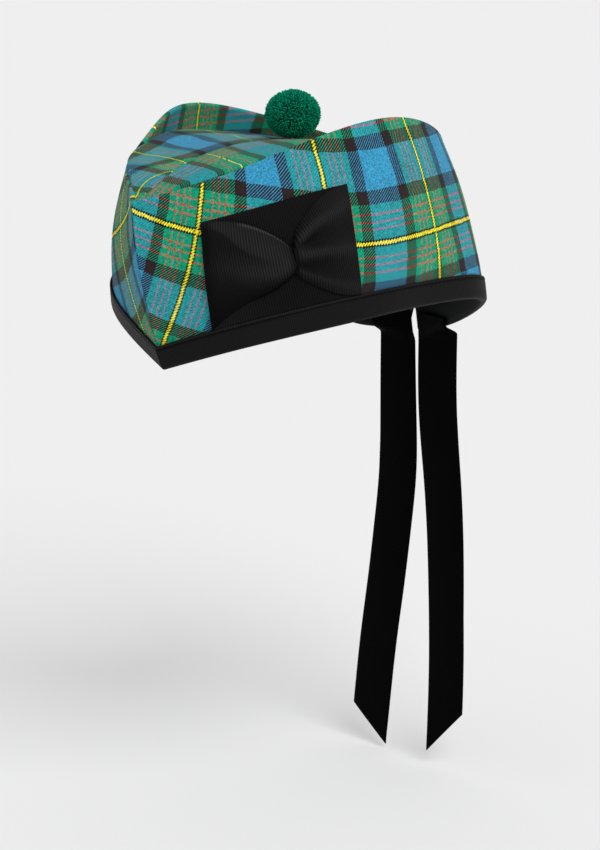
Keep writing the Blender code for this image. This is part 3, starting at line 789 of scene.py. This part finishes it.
def tail(side, look):
    """Ribbon from its tuck down: it follows the binding's inside, turns flat below it, sways and curls.

    It is a little narrower where it turns away from the eye: the left one low down, the right one on top.
    """
    across = np.linspace(0.0, 1.0, 17)[None, :]
    down = np.linspace(0.0, 1.0, 160)[:, None]
    longer, cut = tail_ends[side]
    height = tail_tuck - down * (tail_tuck + tail_length + longer - cut * across)
    lead_in = 0.0032 * np.clip((height + 0.004) / 0.015, 0.0, 1.0) * (1 - across) if side < 0 else 0.0
    turned = 1 - np.clip(-height / 0.07, 0.0, 1.0) if side < 0 else np.clip((-height - 0.05) / 0.1, 0.0, 1.0)
    narrowed = 1 - 0.085 * turned
    x = side * (tail_gap / 2 + tail_width * narrowed * across + lead_in) + tail_shift + tail_own_shift[side]
    run = np.linspace(0.7, 1.0, 61)
    lining = wall(run, 0.0, wall_cloth / 2 + fold_radius + ribbon_cloth / 2 + clearance)[::-1]
    tucked = np.interp(np.abs(x), lining[:, 0], lining[:, 1])
    foot = np.interp(np.abs(x), lining[:, 0], lining[:, 2])
    flat = np.clip((foot - clearance - height) / tail_twist, 0.0, 1.0)
    flat = flat ** 2 * (3 - 2 * flat)
    fall = np.clip(-height / tail_length, 0.0, 1.0)
    y = tucked * (1 - flat) + tucked.max() * flat + tail_setback * fall
    curl = fall * (1 - fall) * 4
    y = y - 0.0012 * curl * (1 - (2 * across - 1) ** 2) + 0.0008 * np.sin(fall * 9 + side) * fall
    x = x + side * spline(sway_rows, fall)[..., 0 if side > 0 else 1] * tail_length
    points = np.stack(np.broadcast_arrays(x, y, height), axis=-1)
    marks = np.stack(np.broadcast_arrays(height, across * tail_width), axis=-1)
    label = "left" if side > 0 else "right"
    if side > 0:
        points, marks = points[::-1], marks[::-1]
    made = surface(f"tail_{label}_ribbon", points, marks, look)
    thickened(made, ribbon_cloth * 0.8, -1.0)
    return made


narrow_ribbon = black_ribbon("narrow_ribbon", 0.0009, 0.00012, 0.0012, 0.014)
for side, label in ((1, "left"), (-1, "right")):
    piece = tail(side, narrow_ribbon)
    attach(piece, "root")
    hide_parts(f"tail_{label}")

# Studio: a pale floor just below the ends of the tails, an evenly white surround with one broad soft light,
# and the camera at the photograph's angle, a little above the cap and in front of its left side.

camera_turn, camera_rise = math.radians(48.64), math.radians(11.39)
camera_distance, camera_target = 1.14, (0.00098, 0.00086, -0.0381)
focal_pixels, image_pixels = 2280.0, 850.0
floor_height, floor_tone = -0.2365, 0.9
surround_strength, key_strength, key_spread = 0.52, 2.15, math.radians(40)
key_direction = (1.0, -0.42, 0.95)

back = np.array([math.cos(camera_turn) * math.cos(camera_rise),
                 -math.sin(camera_turn) * math.cos(camera_rise), math.sin(camera_rise)])
right = np.array([math.sin(camera_turn), math.cos(camera_turn), 0.0])
upward = np.cross(back, right)

lens = bpy.data.cameras.new("camera")
lens.sensor_fit = "VERTICAL"
lens.sensor_height = 36.0
lens.lens = focal_pixels / image_pixels * lens.sensor_height
camera = bpy.data.objects.new("camera", lens)
turned = Matrix((right, upward, back)).transposed().to_4x4()
turned.translation = np.array(camera_target) + back * camera_distance
camera.matrix_world = turned
bpy.context.scene.collection.objects.link(camera)
bpy.context.scene.camera = camera

floor_look, _, floor_shader = new_look("pale_floor", 0.9, 0.0, 0.1)
floor_shader.inputs["Base Color"].default_value = (floor_tone, floor_tone, floor_tone, 1.0)
floor_x, floor_y = np.meshgrid(np.linspace(-80, 80, 9), np.linspace(-80, 80, 9), indexing="ij")
floor_points = np.stack([floor_x, floor_y, np.full_like(floor_x, floor_height)], axis=-1)
floor = surface("floor", floor_points, np.stack([floor_x, floor_y], axis=-1), floor_look)

world = bpy.data.worlds.new("studio")
world.use_nodes = True
world.node_tree.nodes["Background"].inputs[0].default_value = (1.0, 1.0, 1.0, 1.0)
world.node_tree.nodes["Background"].inputs[1].default_value = surround_strength
bpy.context.scene.world = world
bpy.context.scene.view_settings.view_transform = "Standard"

light = bpy.data.lights.new("key", "SUN")
light.angle = key_spread
light.energy = key_strength
lamp = bpy.data.objects.new("key", light)
lamp.matrix_world = Vector((0, 0, 1)).rotation_difference(Vector(key_direction)).to_matrix().to_4x4()
bpy.context.scene.collection.objects.link(lamp)
